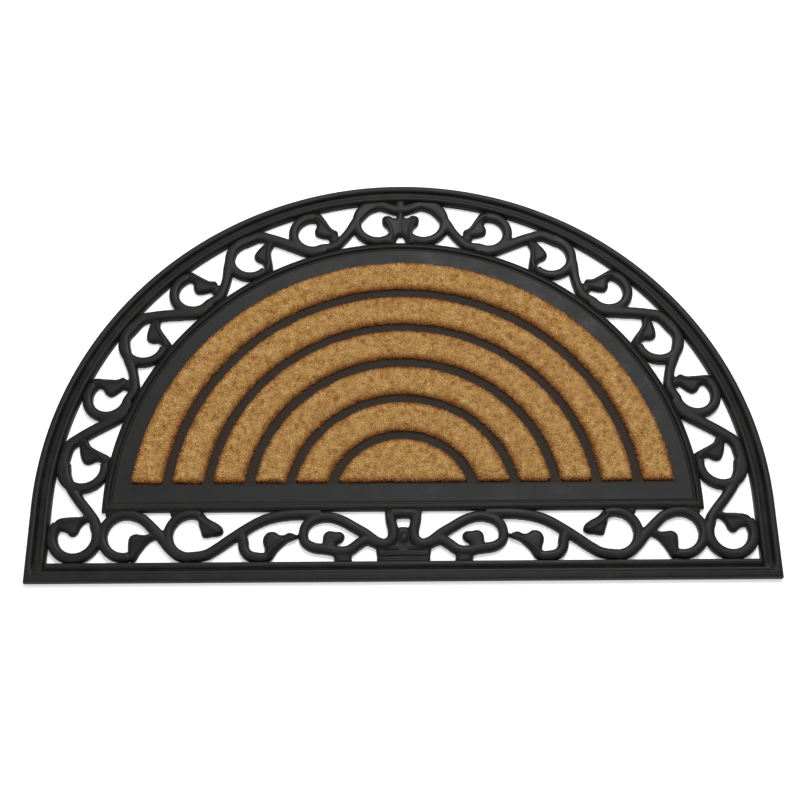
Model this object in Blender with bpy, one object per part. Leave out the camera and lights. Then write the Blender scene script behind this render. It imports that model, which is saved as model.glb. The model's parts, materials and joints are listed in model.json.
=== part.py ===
"""Half-round doormat: an openwork rubber moulding that holds six bands of coir pile.

Everything is worked out in millimetres about the centre of the half round, with
+Y towards the arched side, and is moved to the part's own origin at the end: the
middle of the mat's footprint, on the floor.
"""
import math

import bpy
import bmesh

MM = 0.001

# Outline of the mat: a half circle on short straight sides
RADIUS = 381.0
DROP = 80.0
OUTLINE_STEPS = 64
ORIGIN_Y = (RADIUS - DROP) / 2

# Frame moulding, from its outer foot over the top to its inner foot
# Columns: inset from the arc and the sides, inset from the straight edge, height
FRAME_ROWS = (
    (0.0, 0.0, 0.0),
    (0.0, 0.0, 6.4),
    (1.4, 1.6, 7.8),
    (6.2, 5.2, 7.9),
    (8.4, 6.8, 6.2),
    (10.8, 8.6, 8.0),
    (16.6, 10.0, 8.4),
    (19.4, 13.4, 5.4),
    (20.0, 15.4, 6.6),
    (20.5, 19.4, 6.6),
    (21.1, 20.3, 0.0),
)

# Panel that carries the coir, with a raised bead round its rim
PANEL_RADIUS = 307.5
PANEL_DROP = 5.6
PANEL_STEPS = 44
PANEL_TOP = 5.0
# Columns: inset from the panel's edge, height
PANEL_ROWS = (
    (0.0, 0.0),
    (0.0, 5.2),
    (1.6, 6.8),
    (5.6, 6.8),
    (7.6, PANEL_TOP),
)

# Coir: five concentric bands and a middle segment, all cut on one base line
BASE_LINE = 24.0
BAND_OUTER_RADII = (280.0, 238.1, 196.2, 154.3, 112.4)
BAND_WIDTH = 29.8
CENTER_RADIUS = 70.5
STEP_LENGTH = 26.0
COIR_TOP = 11.0
COIR_EDGE = 1.2
POCKET_FLOOR = 2.4
CLEARANCE = 0.3

# Scrollwork bars
BAR_FOOT = 9.6
BAR_CROWN = 5.2
BAR_HEIGHT = 7.0
BAR_STEP = 8.0
LEAF_HEIGHT = 6.4
LEAF_EDGE = 1.2

# An edge belongs to a plate's top rim when it lies at the top and is this sharp
FLAT_TOLERANCE = 0.01
RIM_ANGLE = math.radians(60)

# Points nearer than this are one point after the pieces are joined
JOIN_TOLERANCE = 0.02

# Volutes along the arch: they stand on a mid radius, at these angles in degrees, and
# turn outwards and inwards in turn
ARCH_RADIUS = 333.6
ARCH_ANGLES = (107.35, 120.0, 133.1, 146.2, 159.0, 172.6)
ARCH_RING = 22.0
# Columns: distance along the arch from the volute's centre, distance outwards
ARCH_VINE = ((-84, 25), (-66, 20), (-50, 9), (-36, -5), (-23, -16))
ARCH_LEAF = (
    (-15, 23), (-20, 15), (-22, 8), (-25, 1), (-30, -4), (-25, -9), (-18, -7),
    (-11, -4), (-4, 0), (-4, 6), (-8, 12), (-6, 21),
)

# Volutes along the straight side, by centre and ring radius
CORNER_CENTER = (-333.0, -32.8)
SECOND_CENTER = (-283.0, -32.8)
THIRD_CENTER = (-216.5, -32.8)
CROWN_CENTER = (-27.5, 332.5)
BASE_RING = 23.4
CROWN_RING = 22.0

# Vines between the volutes of the left half: points that each one passes
CORNER_VINE = ((-350, 47), (-349, 33), (-343, 19), (-335, 6), (-326, -5), (-318, -15.5))
SECOND_VINE = ((-268, -15), (-258, -24), (-248, -34), (-238, -45), (-228, -52.5), (-216, -56.2))
THIRD_VINE = (
    (-84, -9.6), (-108, -9.6), (-130, -11), (-147, -15.5), (-162, -24), (-176, -34),
    (-189, -43.5), (-201, -51),
)
HEART_VINE = ((-166, -28), (-162, -37), (-160.5, -46), (-155, -53), (-147, -56.5), (-138, -56))
EYE_TOP = (
    (-102.5, -33), (-101, -23), (-95, -15.5), (-84, -11.5), (-74, -11), (-62, -15),
    (-50, -22), (-38, -30), (-27, -37.5), (-18, -39), (-12, -34), (-10.5, -26),
    (-12, -15), (-12.5, -3),
)
EYE_BOTTOM = (
    (-102.5, -29), (-100.5, -39), (-92, -46), (-79, -48.5), (-65, -48), (-55, -45.5),
    (-46, -39.5), (-37, -36), (-26, -40),
)
CROWN_VINE = ((8, 352.5), (-6, 353), (-15, 354.5))
CROWN_POST = ((0, 362), (0, 350))
CROSS_BAR = ((-14, -8.8), (4, -8.8))

# Leaves of the left half: outlines of the lobes that end the vines
LEAVES = {
    "corner": (
        (-351, -23), (-347, -15), (-340, -11), (-330, -11), (-321, -9), (-318, -14),
        (-324, -17), (-329, -22), (-331, -28), (-334, -31), (-338, -27), (-344, -24),
    ),
    "second": (
        (-276, -58), (-278, -48), (-279, -38), (-278, -32), (-273, -29), (-264, -30),
        (-253, -29), (-251, -33), (-258, -36.5), (-263, -42), (-267, -49), (-270, -58),
    ),
    "third": (
        (-210, -8), (-199, -13), (-190, -18), (-184, -22), (-182, -27), (-186, -30),
        (-195, -30), (-203, -31), (-205, -25), (-208, -18),
    ),
    "heart": (
        (-143, -59), (-142, -48), (-142, -36), (-138, -29.5), (-131, -28.5), (-126, -32),
        (-121, -32), (-117, -28.5), (-110, -29), (-103, -32), (-108, -36), (-117, -41),
        (-125, -49), (-132, -58),
    ),
    "eye": (
        (-83, -47), (-80, -38), (-79, -29), (-74, -26.5), (-69, -30), (-61, -30.5),
        (-58, -36), (-62, -41), (-67, -43), (-68, -48),
    ),
    "foot": ((-70, -46), (-69.5, -63), (-53, -63), (-51.5, -50), (-55, -43)),
    "crown": (
        (2, 318), (-7, 314), (-13, 309), (-15, 316), (-15, 325), (-20, 332), (-19.5, 339),
        (-12, 341), (-6, 342), (-5, 354), (2, 354),
    ),
    "shell": (
        (2, -63), (-24.5, -63), (-26, -53), (-26, -44), (-20, -38), (-9, -38),
        (-7, -33), (-8, -26), (2, -26),
    ),
}

COLORS = {
    "rubber": (0.026, 0.027, 0.029, 1.0),
    "coir": (0.42, 0.23, 0.09, 1.0),
}


def clear_scene():
    for obj in list(bpy.data.objects):
        bpy.data.objects.remove(obj, do_unlink=True)


def new_collection(name):
    collection = bpy.data.collections.new(name)
    bpy.context.scene.collection.children.link(collection)
    return collection


def new_material(name, roughness):
    material = bpy.data.materials.new(name)
    material.use_nodes = True
    shader = material.node_tree.nodes["Principled BSDF"]
    shader.inputs["Base Color"].default_value = COLORS[name]
    shader.inputs["Roughness"].default_value = roughness
    shader.inputs["Metallic"].default_value = 0.0
    return material


def place(x, y, z=0.0):
    """A point of the half round's own millimetres, in the part's metres."""
    return (x * MM, (y - ORIGIN_Y) * MM, z * MM)


def half_round(radius, drop, steps):
    """Closed outline in even steps: up the right side, over the arc, down the left.

    With a negative drop the straight edge cuts the circle above its centre.
    """
    start = math.asin(max(0.0, -drop) / radius)
    side = max(0.0, drop)
    length = 2 * side + (math.pi - 2 * start) * radius
    outline = []
    for i in range(steps + 1):
        way = length * i / steps
        if way < side:
            outline.append((radius, way - drop))
        elif way > length - side:
            outline.append((-radius, length - way - drop))
        else:
            angle = start + (way - side) / radius
            outline.append((radius * math.cos(angle), radius * math.sin(angle)))
    return outline


def segment_arc(radius, base, steps):
    """The part of a circle that lies above the base line, from right to left."""
    start = math.asin(base / radius)
    sweep = math.pi - 2 * start
    angles = [start + sweep * i / steps for i in range(steps + 1)]
    return [(radius * math.cos(a), radius * math.sin(a)) for a in angles]


def arc_points(center, radius, start, end, steps):
    """Points on a round stretch, with its angles in degrees."""
    angles = [math.radians(start + (end - start) * i / steps) for i in range(steps + 1)]
    return [
        (center[0] + radius * math.cos(a), center[1] + radius * math.sin(a)) for a in angles
    ]


def smooth_path(points, spacing):
    """Even steps along a smooth curve that passes through all the points."""
    padded = [points[0]] + list(points) + [points[-1]]
    path = [points[0]]
    for p0, p1, p2, p3 in zip(padded, padded[1:], padded[2:], padded[3:]):
        length = math.dist(p1, p2)
        steps = max(1, round(length / spacing))
        for i in range(1, steps + 1):
            t = i / steps
            path.append(tuple(
                0.5 * (2 * b + (c - a) * t + (2 * a - 5 * b + 4 * c - d) * t ** 2
                       + (3 * b - a - 3 * c + d) * t ** 3)
                for a, b, c, d in zip(p0, p1, p2, p3)
            ))
    return path


def lofted_mesh(name, loops, closed_ring):
    """Bands of faces between closed loops of points, each at its own height.

    A closed ring joins its last loop to its first one; otherwise the first and the
    last loop are filled.
    """
    bm = bmesh.new()
    rings = [[bm.verts.new(place(x, y, z)) for x, y in loop] for loop, z in loops]
    pairs = list(zip(rings, rings[1:]))
    if closed_ring:
        pairs.append((rings[-1], rings[0]))
    for lower, upper in pairs:
        count = len(lower)
        for i in range(count):
            j = (i + 1) % count
            bm.faces.new((lower[i], lower[j], upper[j], upper[i]))
    if not closed_ring:
        bm.faces.new(reversed(rings[0]))
        bm.faces.new(rings[-1])
    bmesh.ops.recalc_face_normals(bm, faces=bm.faces)
    mesh = bpy.data.meshes.new(name)
    bm.to_mesh(mesh)
    bm.free()
    return mesh


def curve_to_object(curve_object, collection):
    """Replace a curve by the closed mesh that it makes."""
    depsgraph = bpy.context.evaluated_depsgraph_get()
    mesh = bpy.data.meshes.new_from_object(curve_object.evaluated_get(depsgraph))
    bm = bmesh.new()
    bm.from_mesh(mesh)
    bmesh.ops.remove_doubles(bm, verts=bm.verts, dist=0.000001)
    bmesh.ops.recalc_face_normals(bm, faces=bm.faces)
    bm.to_mesh(mesh)
    bm.free()
    name = curve_object.name
    matrix = curve_object.matrix_world.copy()
    bpy.data.objects.remove(curve_object, do_unlink=True)
    result = bpy.data.objects.new(name, mesh)
    result.matrix_world = matrix
    collection.objects.link(result)
    return result


def as_cutter(obj):
    obj.hide_render = True
    obj.display_type = "WIRE"
    return obj


def plate(name, outline, bottom, top, collection):
    """A flat piece with the given outline, between two heights."""
    curve = bpy.data.curves.new(name, "CURVE")
    curve.dimensions = "2D"
    curve.fill_mode = "BOTH"
    curve.extrude = (top - bottom) / 2 * MM
    spline = curve.splines.new("POLY")
    spline.points.add(len(outline) - 1)
    for point, (x, y) in zip(spline.points, outline):
        point.co = place(x, y) + (1.0,)
    spline.use_cyclic_u = True
    obj = bpy.data.objects.new(name, curve)
    obj.location.z = (top + bottom) / 2 * MM
    collection.objects.link(obj)
    bpy.context.view_layer.update()
    return curve_to_object(obj, collection)


def bevel_top(obj, width):
    """Take the sharp edge off the top rim of a plate."""
    bm = bmesh.new()
    bm.from_mesh(obj.data)
    top = max(v.co.z for v in bm.verts)
    rim = [
        e for e in bm.edges
        if min(v.co.z for v in e.verts) > top - FLAT_TOLERANCE * MM
        and e.calc_face_angle(0.0) > RIM_ANGLE
    ]
    bmesh.ops.bevel(
        bm, geom=rim, offset=width * MM, offset_type="OFFSET", segments=1,
        affect="EDGES", profile=0.5,
    )
    bm.to_mesh(obj.data)
    bm.free()


def bar_profile(collection):
    """Cross-section of a scroll bar: a broad foot and a narrower crown."""
    curve = bpy.data.curves.new("bar_profile", "CURVE")
    curve.dimensions = "2D"
    spline = curve.splines.new("POLY")
    corners = (
        (-BAR_FOOT / 2, 0.0), (BAR_FOOT / 2, 0.0),
        (BAR_CROWN / 2, BAR_HEIGHT), (-BAR_CROWN / 2, BAR_HEIGHT),
    )
    spline.points.add(len(corners) - 1)
    for point, (x, y) in zip(spline.points, corners):
        point.co = (x * MM, y * MM, 0.0, 1.0)
    spline.use_cyclic_u = True
    obj = bpy.data.objects.new("bar_profile", curve)
    collection.objects.link(obj)
    return as_cutter(obj)


def bar(name, points, profile, collection):
    """A scroll bar that lies along a smooth path."""
    path = smooth_path(points, BAR_STEP)
    curve = bpy.data.curves.new(name, "CURVE")
    curve.dimensions = "3D"
    curve.twist_mode = "Z_UP"
    curve.bevel_mode = "OBJECT"
    curve.bevel_object = profile
    curve.use_fill_caps = True
    spline = curve.splines.new("POLY")
    spline.points.add(len(path) - 1)
    for point, (x, y) in zip(spline.points, path):
        point.co = place(x, y) + (1.0,)
    obj = bpy.data.objects.new(name, curve)
    collection.objects.link(obj)
    bpy.context.view_layer.update()
    return as_cutter(curve_to_object(obj, collection))


def leaf(name, outline, collection):
    """A leaf or lobe with a bevelled top edge."""
    obj = plate(name, outline, 0.0, LEAF_HEIGHT, collection)
    bevel_top(obj, LEAF_EDGE)
    return as_cutter(obj)


def on_arch(volute_angle, along, outwards, turn):
    """A volute's own coordinates, bent round the arch."""
    radius = ARCH_RADIUS + turn * outwards
    angle = math.radians(volute_angle) + along / ARCH_RADIUS
    return (radius * math.cos(angle), radius * math.sin(angle))


def arch_volutes():
    """Bars and leaves of the six volutes on the left half of the arch, by name."""
    ring = arc_points((0, 0), ARCH_RING, 252, 470, 9)
    bars, leaves = {}, {}
    for k, angle in enumerate(ARCH_ANGLES):
        turn = 1 if k % 2 == 0 else -1
        name = f"arch_{k + 1}"
        bars[name] = [on_arch(angle, u, v, turn) for u, v in list(ARCH_VINE) + ring]
        leaves[name] = [on_arch(angle, u, v, turn) for u, v in ARCH_LEAF]
    return bars, leaves


def other_bars():
    """Bars of the crown, the corner and the straight side, for the left half."""
    corner = arc_points(CORNER_CENTER, BASE_RING, 28, -215, 10)
    second = arc_points(SECOND_CENTER, BASE_RING, 285, 75, 9)
    third = arc_points(THIRD_CENTER, BASE_RING, 268, 65, 9)
    crown = arc_points(CROWN_CENTER, CROWN_RING, 85, 300, 9)
    return {
        "corner": list(CORNER_VINE) + corner,
        "second": second + list(SECOND_VINE),
        "third": list(THIRD_VINE) + third,
        "heart": HEART_VINE,
        "eye_top": EYE_TOP,
        "eye_bottom": EYE_BOTTOM,
        "crown": list(CROWN_VINE) + crown,
        "crown_post": CROWN_POST,
        "cross": CROSS_BAR,
    }


def scrollwork(profile, collection):
    """All bars and leaves, on the left half and mirrored on the right one."""
    bars, leaves = arch_volutes()
    bars.update(other_bars())
    leaves.update(LEAVES)
    for side, sign in (("left", 1), ("right", -1)):
        for name, path in bars.items():
            bar(f"bar_{name}_{side}", [(sign * x, y) for x, y in path], profile, collection)
        for name, outline in leaves.items():
            leaf(f"leaf_{name}_{side}", [(sign * x, y) for x, y in outline], collection)


def frame_mesh():
    loops = [
        (half_round(RADIUS - arc, DROP - base, OUTLINE_STEPS), height)
        for arc, base, height in FRAME_ROWS
    ]
    return lofted_mesh("rubber_moulding", loops, closed_ring=True)


def panel_object(collection):
    loops = [
        (half_round(PANEL_RADIUS - inset, PANEL_DROP - inset, PANEL_STEPS), height)
        for inset, height in PANEL_ROWS
    ]
    mesh = lofted_mesh("panel", loops, closed_ring=False)
    obj = bpy.data.objects.new("panel", mesh)
    collection.objects.link(obj)
    return as_cutter(obj)


def band_outline(outer, inner, grow):
    """Outline of a coir band, or of the middle segment where inner is zero."""
    steps = max(14, round(math.pi * outer / STEP_LENGTH))
    base = BASE_LINE - grow
    outline = segment_arc(outer + grow, base, steps)
    if inner > 0:
        outline += reversed(segment_arc(inner - grow, base, steps))
    return outline


def coir_sizes():
    """Name, outer radius and inner radius of each piece of coir."""
    sizes = [
        (f"coir_band_{i + 1}", outer, outer - BAND_WIDTH)
        for i, outer in enumerate(BAND_OUTER_RADII)
    ]
    return sizes + [("coir_center", CENTER_RADIUS, 0.0)]


def add_boolean(obj, operation, collection):
    """A Boolean with every object of a collection.

    The pieces share their floor plane and cross each other in many places. The
    manifold solver closes the result there; the exact solver leaves open edges.
    """
    boolean = obj.modifiers.new(operation.lower(), "BOOLEAN")
    boolean.operation = operation
    boolean.operand_type = "COLLECTION"
    boolean.collection = collection
    boolean.solver = "MANIFOLD"
    return boolean


def build():
    clear_scene()
    mat = new_collection("half_round_doormat")
    guides = new_collection("guides")
    joined = new_collection("moulding_pieces")
    pockets = new_collection("pocket_cutters")
    rubber = new_material("rubber", 0.55)
    coir = new_material("coir", 0.95)

    profile = bar_profile(guides)
    panel_object(joined)
    scrollwork(profile, joined)

    moulding = bpy.data.objects.new("rubber_moulding", frame_mesh())
    mat.objects.link(moulding)
    moulding.data.materials.append(rubber)

    for name, outer, inner in coir_sizes():
        cut = band_outline(outer, inner, CLEARANCE)
        pocket = plate(f"pocket_{name}", cut, POCKET_FLOOR, 2 * COIR_TOP, pockets)
        as_cutter(pocket)
        outline = band_outline(outer, inner, 0.0)
        slab = plate(name, outline, POCKET_FLOOR + CLEARANCE, COIR_TOP, mat)
        slab.data.materials.append(coir)
        bevel_top(slab, COIR_EDGE)

    add_boolean(moulding, "UNION", joined)
    add_boolean(moulding, "DIFFERENCE", pockets)
    weld = moulding.modifiers.new("weld", "WELD")
    weld.merge_threshold = JOIN_TOLERANCE * MM


build()
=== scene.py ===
"""Looks of the half-round doormat: moulded rubber scrollwork and short coir pile."""
import json
import math

import bmesh
import bpy
from mathutils import Matrix, Vector, geometry, noise

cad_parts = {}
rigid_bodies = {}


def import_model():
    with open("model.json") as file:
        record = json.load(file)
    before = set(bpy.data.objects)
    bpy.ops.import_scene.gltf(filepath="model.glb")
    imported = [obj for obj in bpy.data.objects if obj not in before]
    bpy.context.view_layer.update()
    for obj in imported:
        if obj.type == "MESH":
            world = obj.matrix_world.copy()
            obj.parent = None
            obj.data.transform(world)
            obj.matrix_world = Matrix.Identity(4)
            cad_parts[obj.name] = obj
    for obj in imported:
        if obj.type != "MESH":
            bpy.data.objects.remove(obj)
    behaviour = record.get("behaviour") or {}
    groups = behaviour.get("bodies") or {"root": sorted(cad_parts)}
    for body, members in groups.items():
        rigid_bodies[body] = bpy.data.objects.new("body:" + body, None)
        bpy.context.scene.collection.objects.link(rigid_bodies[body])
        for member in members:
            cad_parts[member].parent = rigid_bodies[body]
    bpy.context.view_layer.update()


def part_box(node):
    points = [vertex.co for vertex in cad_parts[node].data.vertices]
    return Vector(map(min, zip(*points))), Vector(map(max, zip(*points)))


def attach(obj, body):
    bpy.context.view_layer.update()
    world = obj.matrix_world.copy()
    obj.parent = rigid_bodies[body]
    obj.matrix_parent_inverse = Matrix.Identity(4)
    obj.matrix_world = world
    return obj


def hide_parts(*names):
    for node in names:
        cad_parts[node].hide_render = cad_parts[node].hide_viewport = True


MM = 0.001

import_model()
RUBBER_LOW, RUBBER_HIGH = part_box("rubber_moulding")

# The half round, in millimetres about the centre of its arc, taken from the frame
RADIUS = RUBBER_HIGH[0] / MM
CENTER_Y = RUBBER_HIGH[1] / MM - RADIUS
DROP = CENTER_Y - RUBBER_LOW[1] / MM
FRAME_STEPS = 320
PANEL_STEPS = 240

# Frame moulding, from its outer foot over the top to its inner foot
# Columns: inset from the arc and the sides, inset from the straight edge, and the
# heights along both
FRAME_ROWS = (
    (0.0, 0.0, 0.0, 0.0),
    (0.1, 0.1, 5.4, 5.4),
    (0.7, 0.8, 7.0, 7.0),
    (2.2, 2.4, 7.9, 7.5),
    (5.0, 4.4, 7.9, 7.6),
    (6.9, 5.8, 7.0, 7.8),
    (8.4, 6.8, 4.8, 7.9),
    (9.9, 7.6, 6.6, 8.1),
    (11.6, 8.4, 7.1, 8.3),
    (14.4, 9.3, 7.6, 8.3),
    (16.4, 10.4, 8.8, 7.7),
    (18.8, 11.6, 8.0, 6.4),
    (20.0, 12.8, 5.6, 5.0),
    (20.3, 13.8, 5.1, 6.0),
    (20.5, 15.8, 5.2, 7.0),
    (20.6, 19.2, 4.6, 6.7),
    (20.7, 20.1, 3.0, 5.0),
    (20.8, 20.4, 0.0, 0.0),
)
FRAME_INNER = 20.8
BASE_INNER = 20.4
MITRE_LENGTH = 12.0

# Panel that carries the coir, with a raised bead round its rim
PANEL_RADIUS = 307.5
PANEL_DROP = 5.6
PANEL_TOP = 5.0
# Columns: inset from the panel's arc, inset from its straight edge, height
PANEL_ROWS = (
    (-1.2, -0.4, 0.0),
    (-1.1, -0.3, 3.6),
    (-0.3, 0.1, 5.0),
    (1.6, 0.9, 5.7),
    (3.2, 2.6, 6.7),
    (4.4, 4.2, 7.0),
    (5.3, 5.5, 6.9),
    (6.1, 6.3, 5.9),
    (6.8, 6.9, 4.8),
    (7.4, 7.5, 4.4),
    (8.2, 8.3, 4.5),
    (9.6, 9.7, PANEL_TOP),
    (12.0, 13.0, PANEL_TOP),
)
ROW_SPACING = 0.55
SHARP_ANGLE = math.radians(38)
MERGE_DISTANCE = 0.001 * MM

# Coir: strips of one width and a segment, which stand in pockets of the panel
COIR_NODES = tuple(f"coir_band_{i}" for i in range(1, 6)) + ("coir_center",)
BAND_WIDTH = 29.8
POCKET_GAP = 0.3
EDGE_WEAR = 0.6
COIR_FLOOR = 2.8
COIR_FOOT = 1.0
COIR_BODY_TOP = 9.6
COIR_BODY_EDGE = 3.3
COIR_VOXEL = 2.1
FEWEST_ARC_STEPS = 24
# Towards an edge the top of the coir falls, over the last millimetres before it
CROWN_REACH = 7.5
CROWN_FALL = 2.4
# Above this height the sides lean out over the rubber, most at the edge itself, and the
# straight ends draw back from the front
SPREAD_START = PANEL_TOP + 0.4
INNER_SPREAD = 1.8
OUTER_SPREAD = 1.1
FRONT_DRAW = 0.8
SPREAD_REACH = 8.0
# Widths of the lumps in the coir's body, and how far they shift its surface. Without a
# seed of its own, their noise starts from the clock
FINE_LUMP = 4.5
BROAD_LUMP = 13
LUMP_SHIFT = 0.5
LUMP_SEED = 3

# Fibres grow above the root line: their length, radius at the root, number on a square
# millimetre and lean. A real fibre is about 0.3 mm thick. The pile's are drawn as thick
# as small tufts, or they wouldn't show; the strays keep the real thickness
ROOT_LINE = 5.2
FIBRE_LENGTH = 2.3
FIBRE_RADIUS = 0.5
FIBRE_PER_MM2 = 1.5
FIBRE_LEAN = 0.9
STRAY_LENGTH = 4.2
STRAY_RADIUS = 0.16
STRAY_PER_MM2 = 0.06
STRAY_LEAN = 2.6
STRAY_SEED = 50
# Smallest and largest share of those sizes that one fibre has: across, across and along
FIBRE_SIZES = ((0.75, 0.75, 0.7), (1.25, 1.25, 1.2))
# A fibre's direction is part of the surface's, and part straight up, before it leans
NORMAL_SHARE = 0.6
UPWARD_SHARE = 0.7
LEAN_RANGE = (1.0, 1.0, 0.2)

# Widths of the patterns in the materials: the rubber's bloom and grain, the dust's
# patches, the clumps of fibres of one tone, and the flecks among their roots
BLOOM_SIZE = 22
GRAIN_SIZE = 1.1
DUST_PATCH_SIZE = 3
CLUMP_SIZE = 6
FLECK_SIZE = 1.2
# A fibre's place in the range of coir colours: its own tone, its clump's, and a shift
OWN_TONE = 0.5
CLUMP_TONE = 1.8
TONE_SHIFT = 0.65
# Heights between which painted shade, a brown darkening lower in the pile, fades out, on the
# fibres and on the body
FIBRE_SHADE = (5.0, 10.8)
BODY_SHADE = (4.5, 10.0)
# Coir dust lies inside this radius and above this line. Its edge runs from a little
# under each to a little over it
DUST_RADIUS = 281.0
DUST_BASE = 22.0
DUST_UNDER = 1
DUST_OVER = 2
DUST_AMOUNT = 0.36
DUST_ROUGHNESS = 0.22

# Scroll bars: half widths and heights of their section, from the foot to the top. The
# widths of a bar scale its section at the stem and at the tip
BAR_SECTION = (
    (5.1, 0.0), (5.0, 2.6), (4.8, 4.8), (4.2, 6.6), (3.0, 7.7), (1.1, 8.1),
)
BAR_WIDTHS = (1.12, 1.0)
BAR_STEP = 2.2
RIB_SECTION = ((2.6, 2.0), (2.4, 5.5), (1.7, 7.4), (0.6, 8.0))

# Leaves swell from the height of their rim to that of their middle, over the distance
# LEAF_SWELL. Webs and the back of the shell are lower
LEAF_RIM = 3.2
LEAF_TOP = 7.0
LEAF_SWELL = 5.0
LEAF_GRID = 1.5
LEAF_STEP = 2.5
SHELL_BACK = 4.8
WEB_TOP = 5.0
LOBE_STEPS = 24

# The scrollwork is fused on a fine grid, softened a few times and thinned to this share
SCROLL_VOXEL = 0.95
SCROLL_SMOOTHING = 3
SCROLL_KEEP = 0.43
# Where a scroll runs into frame or panel it sinks: its height there, how much it falls
# on each millimetre, and the least that stays
SINK_START = 8.0
SINK_SLOPE = 2.6
SINK_END = 4.0

# Volutes along the arch: they stand on a mid radius, at these angles in degrees, and
# turn outwards and inwards in turn
ARCH_RADIUS = 333.6
ARCH_ANGLES = (107.35, 120.0, 133.1, 146.2, 159.0, 172.6)
# Columns: distance along the arch from the volute's centre, distance outwards; the first
# vine ends in a volute that turns outwards, the second in one that turns inwards
ARCH_VINES = (
    ((-84, 25), (-67, 20.5), (-52, 6.5), (-41.5, -6.5), (-30.5, -15.5), (-20.5, -20.8)),
    ((-84, 25), (-66, 20), (-50, 6.8), (-40, -3.2), (-30, -12.8), (-20, -20.8)),
)
# Columns: ring's centre along and outwards from the volute's, ring radius
ARCH_RINGS = ((-1.6, 1.3, 21.3), (0.6, -0.2, 22.2))
ARCH_WIDTHS = ((1.08, 1.14), (1.24, 0.98))
# Round stretch of a volute: first and last angle in degrees, and the number of steps
ARCH_SWEEP = (258, 470, 16)
ARCH_LEAF = (
    (-15, 26), (-20, 15), (-22, 8), (-25, 1), (-30, -4), (-25, -10.5), (-18, -9),
    (-11, -6), (-4.5, -1), (-5, 6), (-9, 12), (-6, 25),
)
ARCH_RIB = ((-10, 22), (-15, 16), (-18.5, 8), (-22, 0), (-28, -5))
# Joins a leaf's tip to the vine where the volute turns outwards
ARCH_WEB = ((-28.5, -6), (-27.5, -16), (-19.5, -17), (-17.5, -9))

# Volutes along the straight side, by centre and ring radius
CORNER_CENTER = (-333.8, -32.1)
SECOND_CENTER = (-283.0, -31.3)
THIRD_CENTER = (-216.4, -31.4)
BASE_RING = 22.8
CORNER_SWEEP = (28, -215, 18)
SECOND_SWEEP = (75, 285, 16)
THIRD_SWEEP = (268, 65, 16)
CORNER_WIDTHS = (1.12, 1.15)

# Vines between the volutes of the left half, from the stem: points that each one passes
CORNER_VINE = ((-350, 47), (-348, 33), (-341, 19), (-331.8, 6), (-322.3, -5.5), (-314.8, -16))
SECOND_VINE = (
    (-216, -55), (-227.5, -52), (-237.2, -44), (-246.6, -32.5), (-256.3, -22.4), (-266.7, -13.3),
)
THIRD_VINE = (
    (-84, -9.6), (-108, -9.4), (-130, -11.8), (-146, -17), (-160.5, -25.4), (-174.8, -35.2),
    (-187.8, -44.7), (-200.5, -52),
)
HEART_VINE = ((-166, -29), (-162.5, -38), (-161.5, -46), (-156.5, -52.5), (-147, -55), (-138, -55))
EYE_TOP = (
    (-13.5, -3), (-12.8, -16), (-10.5, -27), (-11.5, -36), (-18.5, -41.5), (-27.5, -39),
    (-38.5, -30.7), (-50.5, -23.4), (-62, -16.7), (-74, -12.8), (-84, -13), (-94.5, -17),
    (-100.5, -24), (-102, -33),
)
EYE_BOTTOM = (
    (-26, -41), (-37, -37.2), (-45.5, -41.2), (-54, -47.5), (-63.5, -49.3), (-76, -46.8),
    (-91, -44.8), (-100, -39), (-102, -30),
)
CROWN_VINE = (
    (8, 351), (-6, 351.5), (-15, 354.5), (-26, 357.6), (-37.5, 355.7), (-45.4, 348.6),
    (-49, 338.5), (-48.7, 328), (-44, 319), (-36, 313), (-26, 310.7), (-17, 312.4), (-10.6, 316.4),
)
CROWN_POST = ((0, 361), (0, 350))
CROSS_BAR = ((-14, -8.8), (4, -8.8))
POST_WIDTH = 5.0

# Leaves of the left half: outlines of the lobes that end the vines
LEAVES = {
    "corner": (
        (-356, -24), (-355, -15), (-349, -11.4), (-340, -10.4), (-330, -10.2), (-321, -9),
        (-317, -14), (-323, -16.2), (-328.3, -21.2), (-330.8, -28), (-335, -31.5),
        (-339.5, -30.5), (-343, -27), (-350, -25),
    ),
    "second": (
        (-276.5, -58), (-278.8, -48), (-279.4, -38), (-278.5, -32.5), (-273, -29), (-264, -30),
        (-253, -29), (-250, -34), (-256.8, -37.6), (-261.8, -43), (-266.5, -50), (-271, -58),
    ),
    "third": (
        (-206, -7), (-199, -13), (-190, -18), (-184.5, -22.5), (-183, -28), (-187, -31.5),
        (-195, -32.5), (-203.5, -33.5), (-206.5, -26), (-209, -18),
    ),
    "heart": (
        (-143, -59), (-140.5, -47), (-143, -37.5), (-141, -31), (-136, -27.5), (-130, -28),
        (-126, -31), (-121, -31), (-117, -28.5), (-111, -30), (-106.5, -33), (-110, -35.5),
        (-118, -39.5), (-127, -48), (-134, -58),
    ),
    "eye": (
        (-83.5, -47), (-82.3, -39), (-81.3, -31), (-76, -27), (-70, -28), (-63, -28.5),
        (-59.4, -33.3), (-62.6, -39.2), (-67.5, -42), (-69, -48),
    ),
    "foot": ((-69, -46), (-68.5, -63), (-53, -63), (-52.5, -54), (-49.5, -48), (-55, -45)),
    "crown": (
        (2, 320), (-2.2, 317), (-4.9, 311.5), (-5.8, 304), (-15, 304), (-14.8, 312),
        (-13, 320), (-14.5, 326.5), (-20, 332.8), (-20.4, 342), (-13, 344),
        (-7.5, 340.8), (-4, 342.5), (-4, 354), (2, 354),
    ),
}
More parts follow.
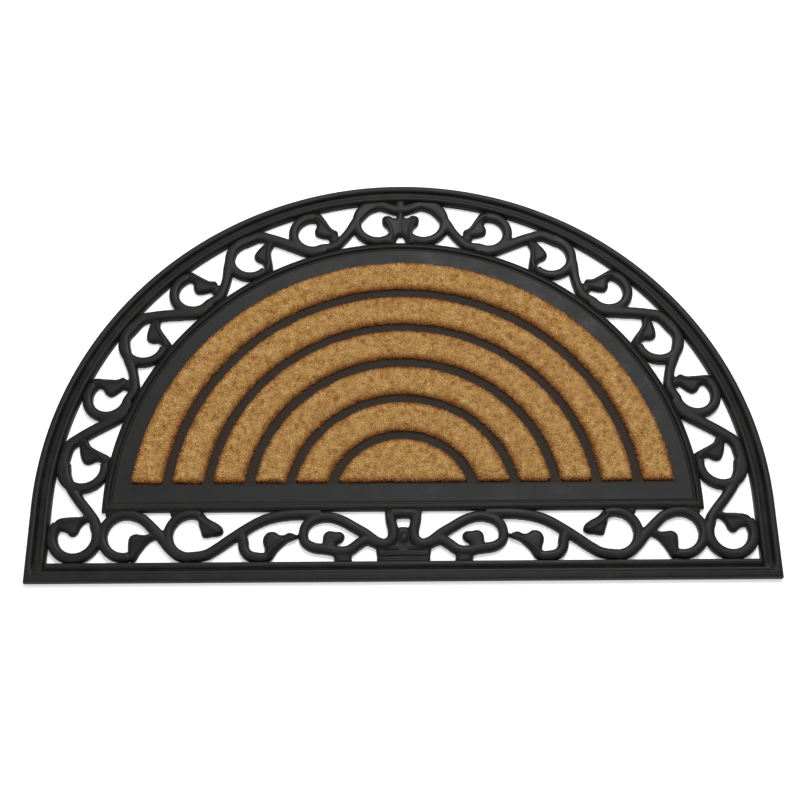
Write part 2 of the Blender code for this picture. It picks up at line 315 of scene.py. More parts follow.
# Ribs along the leaves of the straight side
LEAF_RIBS = (
    ((-351, -20), (-343, -15.5), (-333, -14.5), (-323, -12.5)),
    ((-274, -56), (-273, -46), (-268, -38), (-256, -31.5)),
    ((-210, -12), (-202, -19), (-194, -24.5), (-186, -28)),
    ((-140, -56), (-133, -46), (-123, -38.5), (-109, -33.5)),
    ((-13, 307), (-10.5, 318), (-12, 328), (-17, 338)),
)
# Webs that close the sharp corners where rings meet the panel
WEBS = (
    ((-303.5, -3), (-303.5, -12), (-300, -18), (-292, -14), (-284, -5)),
    ((-237.5, -4), (-236.8, -12), (-232, -18), (-225, -10), (-220, -4)),
)
SHELL = (
    (2, -63), (-24, -63), (-27, -54), (-27.5, -46), (-20, -38), (-9, -38),
    (-7, -33), (-8, -26), (2, -26),
)
# A knob and bands carved on the shell: centre, half width, half height, tilt in degrees
SHELL_LOBES = (
    (0.0, -35.0, 5.2, 6.0, 0.0),
    (-15.0, -46.0, 11.5, 2.6, -7.0),
    (-9.0, -52.6, 16.0, 2.6, 3.0),
    (-9.0, -59.4, 16.0, 2.8, 0.0),
)

# Camera, found from the mat's outline in the photograph; lengths in millimetres
CAMERA_TARGET = (-2.3, -31.6, 0.0)
CAMERA_DISTANCE = 1414.7
CAMERA_ELEVATION = math.radians(66.53)
CAMERA_AZIMUTH = math.radians(-0.92)
CAMERA_ROLL = math.radians(0.49)
CAMERA_LENS = 59.85

# Studio, in metres and watts: the floor is just under the mat, and a light has a name,
# a place, a diameter and a power
FLOOR_SIZE = 12.0
FLOOR_LEVEL = -0.0004
FLOOR_REFLECTANCE = 0.9
FLOOR_GLOW = 0.2
SKY_STRENGTH = 0.68
LIGHTS = (
    ("key", (0.35, 1.55, 2.68), 1.2, 78),
    ("fill", (-1.2, -0.6, 2.4), 2.0, 12),
)


def place(x, y, z=0.0):
    """A point of the half round's own millimetres, in the frame's metres."""
    return (x * MM, (y + CENTER_Y) * MM, z * MM)


def linear(hex_color):
    """A colour written as sRGB hex, as the linear values that a shader takes."""
    values = [int(hex_color[i:i + 2], 16) / 255 for i in (0, 2, 4)]
    return tuple(
        v / 12.92 if v <= 0.04045 else ((v + 0.055) / 1.055) ** 2.4 for v in values
    ) + (1.0,)


def add_node(tree, kind, inputs=None, stops=(), **settings):
    """A node with its settings; an input takes a value or another node's socket.

    Stops are the places and colours along a colour ramp.
    """
    node = tree.nodes.new(kind)
    for name, value in settings.items():
        setattr(node, name, value)
    for key, value in (inputs or {}).items():
        if isinstance(value, bpy.types.NodeSocket):
            tree.links.new(value, node.inputs[key])
        else:
            node.inputs[key].default_value = value
    if stops:
        elements = node.color_ramp.elements
        while len(elements) < len(stops):
            elements.new(0.5)
        for element, (position, color) in zip(elements, stops):
            element.position = position
            element.color = linear(color)
    return node


def new_shader(name):
    """A new material, with its node tree and its shader."""
    material = bpy.data.materials.new(name)
    material.use_nodes = True
    tree = material.node_tree
    return material, tree, tree.nodes["Principled BSDF"]


def shaded_below(tree, coords, color, low, high):
    """The colour, darker and browner lower down between two heights: painted shade in the pile."""
    height = add_node(tree, "ShaderNodeSeparateXYZ", {0: coords}).outputs["Z"]
    rise = add_node(tree, "ShaderNodeMapRange", {
        "Value": height, "From Min": low * MM, "From Max": high * MM,
    }).outputs["Result"]
    # Painted shade: brown and darker towards the bottom of the pile
    painted_shade = add_node(tree, "ShaderNodeValToRGB", {"Fac": rise}, stops=(
        (0.0, "8a5a38"), (0.55, "cfa88a"), (1.0, "ffffff"),
    )).outputs["Color"]
    return add_node(tree, "ShaderNodeVectorMath", {
        0: color, 1: painted_shade,
    }, operation="MULTIPLY").outputs[0]


def moulded_rubber():
    """Compression-moulded black rubber: satin, finely grained, with a faint bloom.

    Brown coir dust lies on it between the bands of coir, and makes it duller there. The
    real grain is a few tenths of a millimetre wide, and is drawn coarser so that it shows.
    """
    material, tree, shader = new_shader("moulded_rubber")
    coords = add_node(tree, "ShaderNodeTexCoord").outputs["Object"]
    bloom = add_node(tree, "ShaderNodeTexNoise", {
        "Vector": coords, "Scale": 1 / (BLOOM_SIZE * MM), "Detail": 5.0, "Roughness": 0.6,
    }).outputs["Fac"]
    grain = add_node(tree, "ShaderNodeTexNoise", {
        "Vector": coords, "Scale": 1 / (GRAIN_SIZE * MM), "Detail": 3.0, "Roughness": 0.65,
    }).outputs["Fac"]
    color = add_node(tree, "ShaderNodeValToRGB", {"Fac": bloom}, stops=(
        (0.30, "0e0e0e"), (0.55, "151514"), (0.75, "1d1d1c"),
    )).outputs["Color"]
    axes = add_node(tree, "ShaderNodeSeparateXYZ", {0: coords}).outputs
    flat = add_node(tree, "ShaderNodeCombineXYZ", {"X": axes["X"], "Y": axes["Y"]}).outputs[0]
    reach = add_node(tree, "ShaderNodeVectorMath", {
        0: flat, 1: place(0, 0),
    }, operation="DISTANCE").outputs["Value"]
    covered = 1.0
    for value, bare, dusty in (
        (reach, DUST_RADIUS + DUST_OVER, DUST_RADIUS - DUST_UNDER),
        (axes["Y"], CENTER_Y + DUST_BASE - DUST_UNDER, CENTER_Y + DUST_BASE + DUST_OVER),
    ):
        inside = add_node(tree, "ShaderNodeMapRange", {
            "Value": value, "From Min": bare * MM, "From Max": dusty * MM,
        }).outputs["Result"]
        covered = add_node(tree, "ShaderNodeMath", {
            0: covered, 1: inside,
        }, operation="MULTIPLY").outputs[0]
    patches = add_node(tree, "ShaderNodeTexNoise", {
        "Vector": coords, "Scale": 1 / (DUST_PATCH_SIZE * MM), "Detail": 4.0,
        "Roughness": 0.7,
    }).outputs["Fac"]
    thin_dust = add_node(tree, "ShaderNodeMath", {
        0: patches, 1: DUST_AMOUNT,
    }, operation="MULTIPLY").outputs[0]
    dust = add_node(tree, "ShaderNodeMath", {
        0: thin_dust, 1: covered,
    }, operation="MULTIPLY").outputs[0]
    dusted = add_node(tree, "ShaderNodeMix", {
        "Factor": dust, "A": color, "B": linear("4c3822"),
    }, data_type="RGBA")
    tree.links.new(dusted.outputs["Result"], shader.inputs["Base Color"])
    satin = add_node(tree, "ShaderNodeMapRange", {
        "Value": bloom, "From Min": 0.3, "From Max": 0.75, "To Min": 0.40, "To Max": 0.58,
    }).outputs["Result"]
    rough = add_node(tree, "ShaderNodeMath", {
        0: covered, 1: DUST_ROUGHNESS, 2: satin,
    }, operation="MULTIPLY_ADD").outputs[0]
    tree.links.new(rough, shader.inputs["Roughness"])
    bump = add_node(tree, "ShaderNodeBump", {
        "Height": grain, "Strength": 0.35, "Distance": 0.12 * MM,
    })
    tree.links.new(bump.outputs["Normal"], shader.inputs["Normal"])
    shader.inputs["IOR"].default_value = 1.5
    shader.inputs["Specular IOR Level"].default_value = 0.14
    return material


def coir_fibre():
    """Cut coconut fibre: dull, straw to brown, each fibre with a tone of its own."""
    material, tree, shader = new_shader("coir_fibre")
    tone = add_node(tree, "ShaderNodeAttribute", attribute_name="tone").outputs["Fac"]
    coords = add_node(tree, "ShaderNodeTexCoord").outputs["Object"]
    clump = add_node(tree, "ShaderNodeTexNoise", {
        "Vector": coords, "Scale": 1 / (CLUMP_SIZE * MM), "Detail": 4.0, "Roughness": 0.65,
    }).outputs["Fac"]
    own = add_node(tree, "ShaderNodeMath", {
        0: tone, 1: OWN_TONE,
    }, operation="MULTIPLY").outputs[0]
    shared = add_node(tree, "ShaderNodeMath", {
        0: clump, 1: CLUMP_TONE,
    }, operation="MULTIPLY").outputs[0]
    summed = add_node(tree, "ShaderNodeMath", {0: own, 1: shared}, operation="ADD").outputs[0]
    centred = add_node(tree, "ShaderNodeMath", {
        0: summed, 1: TONE_SHIFT,
    }, operation="SUBTRACT").outputs[0]
    color = add_node(tree, "ShaderNodeValToRGB", {"Fac": centred}, stops=(
        (0.0, "8a5a2a"), (0.2, "bc8d47"), (0.5, "dbbc7b"), (0.75, "e3cb8f"), (1.0, "ecdaaa"),
    )).outputs["Color"]
    # The fibres' colour gets painted shade, darker and browner lower down the pile
    tree.links.new(shaded_below(tree, coords, color, *FIBRE_SHADE), shader.inputs["Base Color"])
    shader.inputs["Roughness"].default_value = 0.8
    shader.inputs["Specular IOR Level"].default_value = 0.25
    return material


def coir_root():
    """The dense root of the pile, seen between the fibres: the same coir, painted darker for the
    shade down between the fibres, with real dark flecks.
    """
    material, tree, shader = new_shader("coir_pile_root")
    coords = add_node(tree, "ShaderNodeTexCoord").outputs["Object"]
    fleck = add_node(tree, "ShaderNodeTexNoise", {
        "Vector": coords, "Scale": 1 / (FLECK_SIZE * MM), "Detail": 4.0, "Roughness": 0.7,
    }).outputs["Fac"]
    # Darker than the fibres as painted shade between them; the fleck noise gives real dark flecks
    color = add_node(tree, "ShaderNodeValToRGB", {"Fac": fleck}, stops=(
        (0.3, "6e4820"), (0.5, "a98048"), (0.7, "c8a468"),
    )).outputs["Color"]
    # The body's colour gets the same painted shade lower down the pile
    tree.links.new(shaded_below(tree, coords, color, *BODY_SHADE), shader.inputs["Base Color"])
    bump = add_node(tree, "ShaderNodeBump", {
        "Height": fleck, "Strength": 0.8, "Distance": 0.5 * MM,
    })
    tree.links.new(bump.outputs["Normal"], shader.inputs["Normal"])
    shader.inputs["Roughness"].default_value = 0.95
    shader.inputs["Specular IOR Level"].default_value = 0.1
    return material


def half_round(radius, drop, steps):
    """Closed outline in even steps: up the right side, over the arc, down the left.

    With a negative drop the straight edge cuts the circle above its centre.
    """
    start = math.asin(max(0.0, -drop) / radius)
    side = max(0.0, drop)
    length = 2 * side + (math.pi - 2 * start) * radius
    outline = []
    for i in range(steps + 1):
        way = length * i / steps
        if way < side:
            outline.append((radius, way - drop))
        elif way > length - side:
            outline.append((-radius, length - way - drop))
        else:
            angle = start + (way - side) / radius
            outline.append((radius * math.cos(angle), radius * math.sin(angle)))
    return outline


def smooth_path(points, spacing, closed=False):
    """Even steps along a smooth curve that passes through all the points."""
    points = list(points)
    if closed:
        padded = [points[-1]] + points + points[:2]
    else:
        padded = [points[0]] + points + [points[-1]]
    path = [tuple(points[0])]
    for p0, p1, p2, p3 in zip(padded, padded[1:], padded[2:], padded[3:]):
        steps = max(1, round(math.dist(p1, p2) / spacing))
        for i in range(1, steps + 1):
            t = i / steps
            path.append(tuple(
                0.5 * (2 * b + (c - a) * t + (2 * a - 5 * b + 4 * c - d) * t ** 2
                       + (3 * b - a - 3 * c + d) * t ** 3)
                for a, b, c, d in zip(p0, p1, p2, p3)
            ))
    return path[:-1] if closed else path


def arc_points(center, radius, start, end, steps):
    """Points on a round stretch, with its angles in degrees."""
    angles = [math.radians(start + (end - start) * i / steps) for i in range(steps + 1)]
    return [
        (center[0] + radius * math.cos(a), center[1] + radius * math.sin(a)) for a in angles
    ]


def new_piece(name, mesh):
    """A new object in the scene, at the origin."""
    piece = bpy.data.objects.new(name, mesh)
    bpy.context.scene.collection.objects.link(piece)
    return piece


def mesh_from(name, bm):
    """A mesh with outward normals from a bmesh, which is freed."""
    bmesh.ops.recalc_face_normals(bm, faces=bm.faces)
    mesh = bpy.data.meshes.new(name)
    bm.to_mesh(mesh)
    bm.free()
    return mesh


def join_rings(bm, rings):
    """A band of faces between each ring of points and the next one."""
    for lower, upper in zip(rings, rings[1:]):
        count = len(lower)
        for i in range(count):
            j = (i + 1) % count
            bm.faces.new((lower[i], lower[j], upper[j], upper[i]))


def lofted(name, loops, closed_ring):
    """A solid whose surface passes through closed loops of points in space."""
    bm = bmesh.new()
    rings = [[bm.verts.new(place(*point)) for point in loop] for loop in loops]
    if closed_ring:
        join_rings(bm, rings + rings[:1])
    else:
        join_rings(bm, rings)
        bm.faces.new(reversed(rings[0]))
        bm.faces.new(rings[-1])
    mesh = mesh_from(name, bm)
    mesh.shade_smooth()
    mesh.set_sharp_from_angle(angle=SHARP_ANGLE)
    return mesh


def evaluated_copy(name, source):
    """The source's evaluated shape as a plain mesh at the origin; the source goes."""
    depsgraph = bpy.context.evaluated_depsgraph_get()
    mesh = bpy.data.meshes.new_from_object(source.evaluated_get(depsgraph))
    mesh.transform(source.matrix_world)
    bpy.data.objects.remove(source, do_unlink=True)
    bm = bmesh.new()
    bm.from_mesh(mesh)
    bpy.data.meshes.remove(mesh)
    bmesh.ops.remove_doubles(bm, verts=bm.verts, dist=MERGE_DISTANCE)
    return mesh_from(name, bm)


def plate(name, outline, bottom, top, rounding):
    """A flat piece with the given outline and rounded rims."""
    curve = bpy.data.curves.new(name, "CURVE")
    curve.dimensions = "2D"
    curve.fill_mode = "BOTH"
    curve.extrude = ((top - bottom) / 2 - rounding) * MM
    curve.bevel_depth = rounding * MM
    curve.bevel_resolution = 3
    curve.offset = -rounding * MM
    spline = curve.splines.new("POLY")
    spline.points.add(len(outline) - 1)
    for point, (x, y) in zip(spline.points, outline):
        point.co = place(x, y) + (1.0,)
    spline.use_cyclic_u = True
    piece = new_piece(name, curve)
    piece.location.z = (top + bottom) / 2 * MM
    bpy.context.view_layer.update()
    return evaluated_copy(name, piece)


def bar_mesh(name, points, widths=BAR_WIDTHS, half_section=BAR_SECTION):
    """A scroll bar: its rounded section swept along a smooth path, from stem to tip."""
    stem, tip = widths
    path = smooth_path(points, BAR_STEP)
    section = list(half_section) + [(-w, h) for w, h in reversed(half_section)]
    bm = bmesh.new()
    rings = []
    for i, (x, y) in enumerate(path):
        taper = stem + (tip - stem) * (i / (len(path) - 1)) ** 3
        ahead, behind = path[min(i + 1, len(path) - 1)], path[max(i - 1, 0)]
        along = Vector((ahead[0] - behind[0], ahead[1] - behind[1])).normalized()
        rings.append([
            bm.verts.new(place(x - along.y * w * taper, y + along.x * w * taper, h))
            for w, h in section
        ])
    join_rings(bm, rings)
    bm.faces.new(rings[0])
    bm.faces.new(reversed(rings[-1]))
    return mesh_from(name, bm)


def edge_distance(point, outline):
    """Distance from a point to an outline, negative outside it."""
    x, y = point
    nearest, inside = math.inf, False
    for (x0, y0), (x1, y1) in zip(outline, outline[1:] + outline[:1]):
        dx, dy = x1 - x0, y1 - y0
        t = max(0.0, min(1.0, ((x - x0) * dx + (y - y0) * dy) / (dx * dx + dy * dy)))
        nearest = min(nearest, math.hypot(x - x0 - t * dx, y - y0 - t * dy))
        if (y0 > y) != (y1 > y) and x < x0 + dx * (y - y0) / dy:
            inside = not inside
    return nearest if inside else -nearest


def swollen(name, outline, rim, top):
    """A leaf or lobe that swells from its rim towards its middle."""
    low = [min(p[k] for p in outline) for k in (0, 1)]
    high = [max(p[k] for p in outline) for k in (0, 1)]
    columns = math.ceil((high[0] - low[0]) / LEAF_GRID)
    rows = math.ceil((high[1] - low[1]) / LEAF_GRID)
    grid = [
        (low[0] + (i + 0.5) * LEAF_GRID, low[1] + (j + 0.5) * LEAF_GRID)
        for i in range(columns) for j in range(rows)
    ]
    inner = [p for p in grid if edge_distance(p, outline) > 0.5 * LEAF_GRID]
    count = len(outline)
    rim_edges = [(i, (i + 1) % count) for i in range(count)]
    found, _, faces, *_ = geometry.delaunay_2d_cdt(
        [Vector(p) for p in list(outline) + inner], rim_edges, [], 1, 0.001
    )
    bm = bmesh.new()
    floor = [bm.verts.new(place(p.x, p.y)) for p in found]
    for face in faces:
        bm.faces.new([floor[i] for i in face])
    bm.verts.ensure_lookup_table()
    result = bmesh.ops.extrude_face_region(bm, geom=list(bm.faces), use_keep_orig=True)
    for vertex in result["geom"]:
        if isinstance(vertex, bmesh.types.BMVert):
            point = (vertex.co.x / MM, vertex.co.y / MM - CENTER_Y)
            depth = min(1.0, max(0.0, edge_distance(point, outline)) / LEAF_SWELL)
            vertex.co.z = (rim + (top - rim) * math.sqrt(1 - (1 - depth) ** 2)) * MM
    return mesh_from(name, bm)


def leaf_mesh(name, points, rim, top):
    """A leaf whose rim is a smooth line through the points."""
    return swollen(name, smooth_path(points, LEAF_STEP, closed=True), rim, top)


def ellipse(x, y, half_width, half_height, tilt):
    """Outline of an ellipse, with its tilt in degrees."""
    turn = math.radians(tilt)
    return [
        (x + u * math.cos(turn) - v * math.sin(turn), y + u * math.sin(turn) + v * math.cos(turn))
        for u, v in (
            (half_width * math.cos(a), half_height * math.sin(a))
            for a in (math.tau * i / LOBE_STEPS for i in range(LOBE_STEPS))
        )
    ]


def on_arch(volute_angle, along, outwards, turn):
    """A volute's own coordinates, bent round the arch."""
    radius = ARCH_RADIUS + turn * outwards
    angle = math.radians(volute_angle) + along / ARCH_RADIUS
    return (radius * math.cos(angle), radius * math.sin(angle))


def left_scrollwork():
    """Paths and widths of all bars, paths of ribs and outlines of leaves on the left."""
    bars, ribs, leaves = [], list(LEAF_RIBS), list(LEAVES.values())
    for k, angle in enumerate(ARCH_ANGLES):
        turn = 1 if k % 2 == 0 else -1
        x, y, radius = ARCH_RINGS[k % 2]
        path = list(ARCH_VINES[k % 2]) + arc_points((x, y), radius, *ARCH_SWEEP)
        bars.append(([on_arch(angle, u, v, turn) for u, v in path], ARCH_WIDTHS[k % 2]))
        ribs.append([on_arch(angle, u, v, turn) for u, v in ARCH_RIB])
        leaves.append([on_arch(angle, u, v, turn) for u, v in ARCH_LEAF])
        if turn > 0:
            leaves.append([on_arch(angle, u, v, turn) for u, v in ARCH_WEB])
    corner = list(CORNER_VINE) + arc_points(CORNER_CENTER, BASE_RING, *CORNER_SWEEP)
    second = list(SECOND_VINE) + arc_points(SECOND_CENTER, BASE_RING, *SECOND_SWEEP)
    third = list(THIRD_VINE) + arc_points(THIRD_CENTER, BASE_RING, *THIRD_SWEEP)
    bars.append((corner, CORNER_WIDTHS))
    for path in (
        second, third, CROWN_VINE, HEART_VINE, EYE_TOP, EYE_BOTTOM, CROWN_POST, CROSS_BAR,
    ):
        bars.append((path, BAR_WIDTHS))
    return bars, ribs, leaves


def settled_height(x, y, z):
    """Height of a scroll's surface, which dips where it runs into frame and panel."""
    if z < SCROLL_VOXEL:
        return 0.0
    reach = math.hypot(x, max(y, 0.0))
    into_frame = max(reach - (RADIUS - FRAME_INNER), BASE_INNER - DROP - y)
    into_panel = min(PANEL_RADIUS - reach, y + PANEL_DROP)
    into = max(into_frame, into_panel)
    if into <= 0 or (abs(x) < POST_WIDTH and y > 0):
        return z
    return min(z, max(SINK_END, SINK_START - SINK_SLOPE * into))


def scrollwork_piece(name):
    """All the scrollwork, fused and with soft moulded inner corners."""
    bars, ribs, leaves = left_scrollwork()
    meshes = [bar_mesh(name, path, widths) for path, widths in bars]
    meshes += [bar_mesh(name, path, half_section=RIB_SECTION) for path in ribs]
    meshes += [leaf_mesh(name, leaf, LEAF_RIM, LEAF_TOP) for leaf in leaves]
    meshes += [leaf_mesh(name, web, LEAF_RIM, WEB_TOP) for web in WEBS]
    meshes.append(leaf_mesh(name, SHELL, LEAF_RIM, SHELL_BACK))
    meshes += [swollen(name, ellipse(*lobe), SHELL_BACK, LEAF_TOP) for lobe in SHELL_LOBES]
    bm = bmesh.new()
    for mesh in meshes:
        bm.from_mesh(mesh)
        bpy.data.meshes.remove(mesh)
    whole = list(bm.verts) + list(bm.edges) + list(bm.faces)
    other = bmesh.ops.duplicate(bm, geom=whole)["geom"]
    for element in other:
        if isinstance(element, bmesh.types.BMVert):
            element.co.x = -element.co.x
    rough = new_piece(name, mesh_from(name, bm))
    remesh = rough.modifiers.new("fuse", "REMESH")
    remesh.mode = "VOXEL"
    remesh.voxel_size = SCROLL_VOXEL * MM
    smooth = rough.modifiers.new("soften", "SMOOTH")
    smooth.factor = 0.5
    smooth.iterations = SCROLL_SMOOTHING
    thin = rough.modifiers.new("thin", "DECIMATE")
    thin.ratio = SCROLL_KEEP
    mesh = evaluated_copy(name, rough)
    for vertex in mesh.vertices:
        x, y, z = vertex.co / MM
        vertex.co.z = settled_height(x, y - CENTER_Y, z) * MM
    mesh.shade_smooth()
    return new_piece(name, mesh)


def frame_piece():
    """The frame: its profile goes round the half round, with mitred lower corners."""
    rows = [FRAME_ROWS[0]] + smooth_path(FRAME_ROWS[1:-1], ROW_SPACING) + [FRAME_ROWS[-1]]
    loops = []
    for arc, base, arc_height, base_height in rows:
        low = base - DROP
        loop = []
        for x, y in half_round(RADIUS - arc, -low, FRAME_STEPS):
            along_side = min(1.0, (y - low) / MITRE_LENGTH)
            loop.append((x, y, base_height + (arc_height - base_height) * along_side))
        loops.append(loop)
    return new_piece("rubber_frame", lofted("rubber_frame", loops, closed_ring=True))


def segment_arc(radius, base, steps):
    """The part of a circle that lies above the base line, from right to left."""
    start = math.asin(base / radius)
    sweep = math.pi - 2 * start
    angles = [start + sweep * i / steps for i in range(steps + 1)]
    return [(radius * math.cos(a), radius * math.sin(a)) for a in angles]


def coir_size(node):
    """Outer radius, inner radius and base line of a coir node, from the frame."""
    low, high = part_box(node)
    outer = high[1] / MM - CENTER_Y
    inner = 0.0 if node == "coir_center" else outer - BAND_WIDTH
    return outer, inner, low[1] / MM - CENTER_Y


def coir_outline(node, grow):
    """Outline of a piece of coir, larger all round by grow."""
    outer, inner, base = coir_size(node)
    steps = max(FEWEST_ARC_STEPS, round(outer))
    outline = segment_arc(outer + grow, base - grow, steps)
    if inner > 0:
        outline += reversed(segment_arc(inner - grow, base - grow, steps))
    return outline


def panel_piece():
    """The panel with its bead, cut by the pockets that the coir stands in."""
    rows = [PANEL_ROWS[0]] + smooth_path(PANEL_ROWS[1:], ROW_SPACING)
    loops = [
        [(x, y, height) for x, y in half_round(PANEL_RADIUS - arc, PANEL_DROP - base, PANEL_STEPS)]
        for arc, base, height in rows
    ]
    body = new_piece("rubber_panel", lofted("rubber_panel", loops, closed_ring=False))
    pockets = bpy.data.collections.new("pockets")
    for node in COIR_NODES:
        cutter = plate(
            "pocket", coir_outline(node, POCKET_GAP), COIR_FLOOR - POCKET_GAP,
            2 * COIR_BODY_TOP, 0.0,
        )
        pockets.objects.link(bpy.data.objects.new("pocket", cutter))
    cut = body.modifiers.new("pockets", "BOOLEAN")
    cut.operation = "DIFFERENCE"
    cut.operand_type = "COLLECTION"
    cut.collection = pockets
    cut.solver = "MANIFOLD"
    mesh = evaluated_copy("rubber_panel", body)
    for cutter in list(pockets.objects):
        bpy.data.objects.remove(cutter, do_unlink=True)
    bpy.data.collections.remove(pockets)
    mesh.shade_smooth()
    mesh.set_sharp_from_angle(angle=SHARP_ANGLE)
    return new_piece("rubber_panel", mesh)


def coir_body_piece(node):
    """The dense body of a piece of coir, with a slightly lumpy, worn surface."""
    name = f"{node}_body"
    rough = new_piece(name, plate(
        name, coir_outline(node, -EDGE_WEAR), COIR_FLOOR, COIR_BODY_TOP, COIR_BODY_EDGE,
    ))
    remesh = rough.modifiers.new("even", "REMESH")
    remesh.mode = "VOXEL"
    remesh.voxel_size = COIR_VOXEL * MM
    mesh = evaluated_copy(name, rough)
    outer, inner, base = coir_size(node)
    for vertex in mesh.vertices:
        if vertex.co.z > (COIR_FLOOR + COIR_FOOT) * MM:
            x, y, z = vertex.co.x / MM, vertex.co.y / MM - CENTER_Y, vertex.co.z / MM
            reach = math.hypot(x, y)
            to_outer, to_inner = outer - reach, reach - inner if inner > 0 else math.inf
            edge = min(to_outer, y - base, to_inner)
            fall = CROWN_FALL * max(0.0, 1 - edge / CROWN_REACH) ** 2
            if z > SPREAD_START:
                spread = OUTER_SPREAD if to_outer < to_inner else -INNER_SPREAD
                spread *= max(0.0, 1 - min(to_outer, to_inner) / SPREAD_REACH)
                vertex.co += Vector((x, y, 0)) * spread / reach * MM
                vertex.co.y += FRONT_DRAW * max(0.0, 1 - (y - base) / SPREAD_REACH) * MM
            vertex.co.z -= min(fall, vertex.co.z / MM - COIR_FLOOR - COIR_FOOT) * MM
            fine = noise.noise_vector(vertex.co / (FINE_LUMP * MM))
            broad = noise.noise_vector(vertex.co / (BROAD_LUMP * MM))
            vertex.co += fine * LUMP_SHIFT * MM + broad * LUMP_SHIFT * MM
    mesh.shade_smooth()
    return new_piece(name, mesh)


def pile_tree():
    """Geometry Nodes tree that plants tapered fibres on a piece, above its root line."""
    tree = bpy.data.node_groups.new("coir_pile", "GeometryNodeTree")
    tree.interface.new_socket("Geometry", in_out="OUTPUT", socket_type="NodeSocketGeometry")
    tree.interface.new_socket("Geometry", in_out="INPUT", socket_type="NodeSocketGeometry")
    for name in ("Density", "Length", "Radius", "Lean", "Root Line"):
        tree.interface.new_socket(name, in_out="INPUT", socket_type="NodeSocketFloat")
    tree.interface.new_socket("Seed", in_out="INPUT", socket_type="NodeSocketInt")
    tree.interface.new_socket("Material", in_out="INPUT", socket_type="NodeSocketMaterial")
    given = add_node(tree, "NodeGroupInput").outputs

    position = add_node(tree, "GeometryNodeInputPosition").outputs[0]
    height = add_node(tree, "ShaderNodeSeparateXYZ", {0: position}).outputs["Z"]
    rooted = add_node(tree, "FunctionNodeCompare", {
        0: height, 1: given["Root Line"],
    }, operation="GREATER_THAN")
    points = add_node(tree, "GeometryNodeDistributePointsOnFaces", {
        "Mesh": given["Geometry"], "Selection": rooted.outputs[0],
        "Density": given["Density"], "Seed": given["Seed"],
    })

    chance = add_node(tree, "FunctionNodeRandomValue", {
        0: tuple(-most for most in LEAN_RANGE), 1: LEAN_RANGE, "Seed": given["Seed"],
    }, data_type="FLOAT_VECTOR")
    lean = add_node(tree, "ShaderNodeVectorMath", {
        0: chance.outputs[0], "Scale": given["Lean"],
    }, operation="SCALE")
    outwards = add_node(tree, "ShaderNodeVectorMath", {
        0: points.outputs["Normal"], "Scale": NORMAL_SHARE,
    }, operation="SCALE")
    raised = add_node(tree, "ShaderNodeVectorMath", {
        0: outwards.outputs[0], 1: (0.0, 0.0, UPWARD_SHARE),
    }, operation="ADD")
    direction = add_node(tree, "ShaderNodeVectorMath", {
        0: raised.outputs[0], 1: lean.outputs[0],
    }, operation="ADD")
    turn = add_node(tree, "FunctionNodeAlignRotationToVector", {
        "Vector": direction.outputs[0],
    }, axis="Z")
    spin = add_node(tree, "FunctionNodeRandomValue", {2: 0.0, 3: math.tau, "Seed": 7})
    about = add_node(tree, "FunctionNodeAxisAngleToRotation", {
        "Axis": (0.0, 0.0, 1.0), "Angle": spin.outputs[1],
    })
    turned = add_node(tree, "FunctionNodeRotateRotation", {
        "Rotation": turn.outputs[0], "Rotate By": about.outputs[0],
    }, rotation_space="LOCAL")

    fibre = add_node(tree, "GeometryNodeMeshCone", {
        "Vertices": 3, "Radius Top": 0.0, "Radius Bottom": given["Radius"],
        "Depth": given["Length"],
    }, fill_type="NONE")
    size = add_node(tree, "FunctionNodeRandomValue", {
        0: FIBRE_SIZES[0], 1: FIBRE_SIZES[1], "Seed": 11,
    }, data_type="FLOAT_VECTOR")
    planted = add_node(tree, "GeometryNodeInstanceOnPoints", {
        "Points": points.outputs["Points"], "Instance": fibre.outputs["Mesh"],
        "Rotation": turned.outputs[0], "Scale": size.outputs[0],
    })
    tone = add_node(tree, "FunctionNodeRandomValue", {2: 0.0, 3: 1.0, "Seed": 5})
    toned = add_node(tree, "GeometryNodeStoreNamedAttribute", {
        "Geometry": planted.outputs["Instances"], "Name": "tone", "Value": tone.outputs[1],
    }, data_type="FLOAT", domain="INSTANCE")
    real = add_node(tree, "GeometryNodeRealizeInstances", {
        "Geometry": toned.outputs["Geometry"],
    })
    finished = add_node(tree, "GeometryNodeSetMaterial", {
        "Geometry": real.outputs["Geometry"], "Material": given["Material"],
    })
    add_node(tree, "NodeGroupOutput", {0: finished.outputs["Geometry"]})
    return tree


def planted_piece(name, body, tree, values):
    """Fibres on a body, made a plain mesh."""
    holder = new_piece(name, body.data)
    nodes = holder.modifiers.new("pile", "NODES")
    nodes.node_group = tree
    sockets = {s.name: s.identifier for s in tree.interface.items_tree if s.in_out == "INPUT"}
    for key, value in values.items():
        nodes[sockets[key]] = value
    depsgraph = bpy.context.evaluated_depsgraph_get()
    mesh = bpy.data.meshes.new_from_object(holder.evaluated_get(depsgraph))
    mesh.name = name
    bpy.data.objects.remove(holder, do_unlink=True)
    return new_piece(name, mesh)


def new_camera():
    """The camera, at the photograph's viewing angle."""
    e, a = CAMERA_ELEVATION, CAMERA_AZIMUTH
    back = Vector((math.sin(a) * math.cos(e), -math.cos(a) * math.cos(e), math.sin(e)))
    right = (-back).cross(Vector((0, 0, 1))).normalized()
    up = right.cross(-back)
    turn = Matrix((right, up, back)).transposed() @ Matrix.Rotation(CAMERA_ROLL, 3, "Z")
    data = bpy.data.cameras.new("camera")
    data.lens = CAMERA_LENS
    data.sensor_width = 36.0
    data.clip_start = 0.01
    camera = new_piece("camera", data)
    camera.matrix_world = (
        Matrix.Translation((Vector(CAMERA_TARGET) + CAMERA_DISTANCE * back) * MM)
        @ turn.to_4x4()
    )
    bpy.context.scene.camera = camera


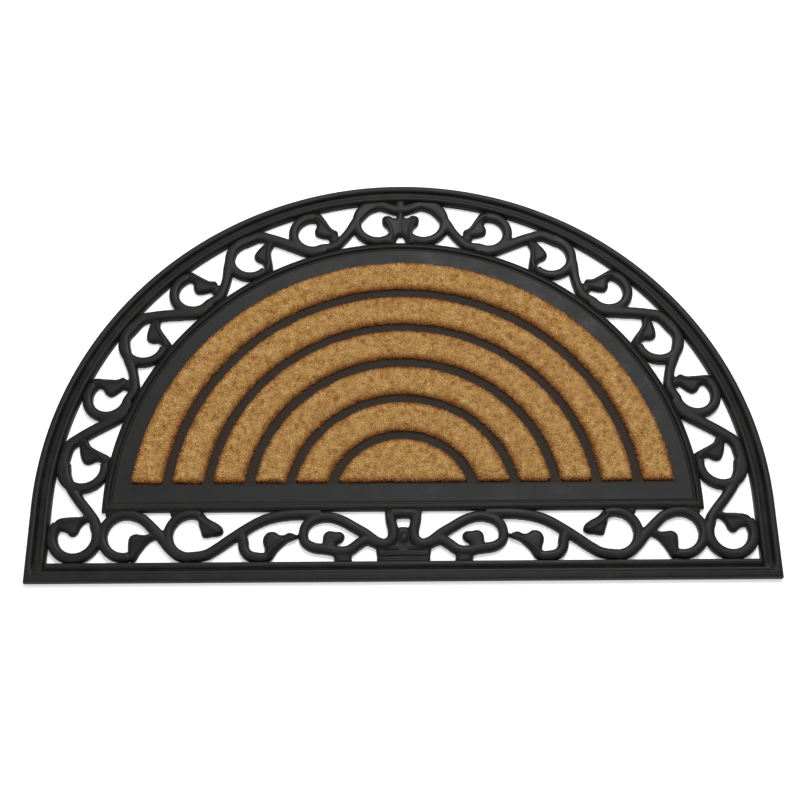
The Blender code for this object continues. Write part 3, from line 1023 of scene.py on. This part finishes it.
def area_light(name, location, size, power):
    """A round soft light that points at the mat."""
    data = bpy.data.lights.new(name, "AREA")
    data.shape = "DISK"
    data.size = size
    data.energy = power
    light = new_piece(name, data)
    light.location = location
    light.rotation_euler = (-Vector(location)).to_track_quat("-Z", "Y").to_euler()


def studio():
    """A pale floor under soft light from above and behind."""
    bpy.ops.mesh.primitive_plane_add(size=FLOOR_SIZE, location=(0, 0, FLOOR_LEVEL))
    floor = bpy.context.active_object
    floor.name = "floor"
    material, _, shader = new_shader("pale_floor")
    shader.inputs["Base Color"].default_value = (FLOOR_REFLECTANCE,) * 3 + (1.0,)
    shader.inputs["Roughness"].default_value = 0.9
    shader.inputs["Specular IOR Level"].default_value = 0.0
    shader.inputs["Emission Color"].default_value = linear("ffffff")
    shader.inputs["Emission Strength"].default_value = FLOOR_GLOW
    floor.data.materials.append(material)
    world = bpy.data.worlds.new("studio")
    world.use_nodes = True
    background = world.node_tree.nodes["Background"]
    background.inputs["Color"].default_value = linear("ffffff")
    background.inputs["Strength"].default_value = SKY_STRENGTH
    bpy.context.scene.world = world
    for name, location, size, power in LIGHTS:
        area_light(name, location, size, power)


def main():
    bpy.context.scene.view_settings.view_transform = "Standard"
    new_camera()
    studio()

    rubber = moulded_rubber()
    panel = panel_piece()
    for piece in (frame_piece(), panel, scrollwork_piece("rubber_scrollwork")):
        piece.data.materials.clear()
        piece.data.materials.append(rubber)
        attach(piece, "root")
        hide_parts("rubber_moulding")

    fibre, root = coir_fibre(), coir_root()
    tree = pile_tree()
    noise.seed_set(LUMP_SEED)
    for seed, node in enumerate(COIR_NODES):
        body = coir_body_piece(node)
        body.data.materials.clear()
        pile = planted_piece(f"{node}_pile", body, tree, {
            "Density": FIBRE_PER_MM2 / MM ** 2, "Length": FIBRE_LENGTH * MM,
            "Radius": FIBRE_RADIUS * MM, "Lean": FIBRE_LEAN, "Root Line": ROOT_LINE * MM,
            "Seed": seed, "Material": fibre,
        })
        strays = planted_piece(f"{node}_strays", body, tree, {
            "Density": STRAY_PER_MM2 / MM ** 2, "Length": STRAY_LENGTH * MM,
            "Radius": STRAY_RADIUS * MM, "Lean": STRAY_LEAN, "Root Line": ROOT_LINE * MM,
            "Seed": STRAY_SEED + seed, "Material": fibre,
        })
        body.data.materials.append(root)
        for piece in (body, pile, strays):
            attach(piece, "root")
        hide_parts(node)


main()
